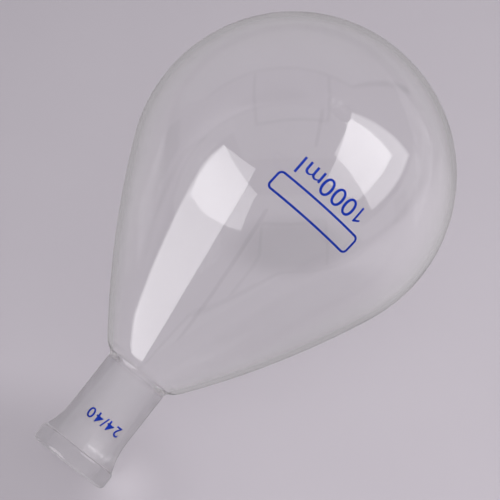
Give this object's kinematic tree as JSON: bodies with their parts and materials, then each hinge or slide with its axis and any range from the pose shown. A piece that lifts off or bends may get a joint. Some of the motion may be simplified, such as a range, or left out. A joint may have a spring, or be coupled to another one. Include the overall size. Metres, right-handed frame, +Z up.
{
  "type": "evaporating flask",
  "caption": "Pear-shaped borosilicate evaporating flask with a tapered ground joint and a reinforced mouth, lying on its side on a bench.",
  "frame": {"origin": "centre of the flask's box, at the height of the surface it lies on", "axes": "+Z up from the surface, +X level and from the mouth towards the closed end of the bulb; the flask's own axis rises 20.1 degrees from +X in the XZ plane"},
  "size_m": [0.2074, 0.1306, 0.1309],
  "materials": {
    "clear_glass": "clear, fire-polished borosilicate glass",
    "ground_glass": "clear tube with a finely ground bore, faintly matt",
    "blue_enamel": "fired blue enamel print, slightly satin"
  },
  "bodies": {
    "root": {"bulb": "clear_glass", "neck_seal": "clear_glass", "joint_socket": "ground_glass", "mouth_collar": "clear_glass", "marking_panel": "blue_enamel", "capacity_1_1": "blue_enamel", "capacity_2_0": "blue_enamel", "capacity_3_0": "blue_enamel", "capacity_4_0": "blue_enamel", "capacity_5_m": "blue_enamel", "capacity_6_l": "blue_enamel", "joint_size_1_2": "blue_enamel", "joint_size_2_4": "blue_enamel", "joint_size_3_slash": "blue_enamel", "joint_size_4_4": "blue_enamel", "joint_size_5_0": "blue_enamel"}
  },
  "joints": []
}
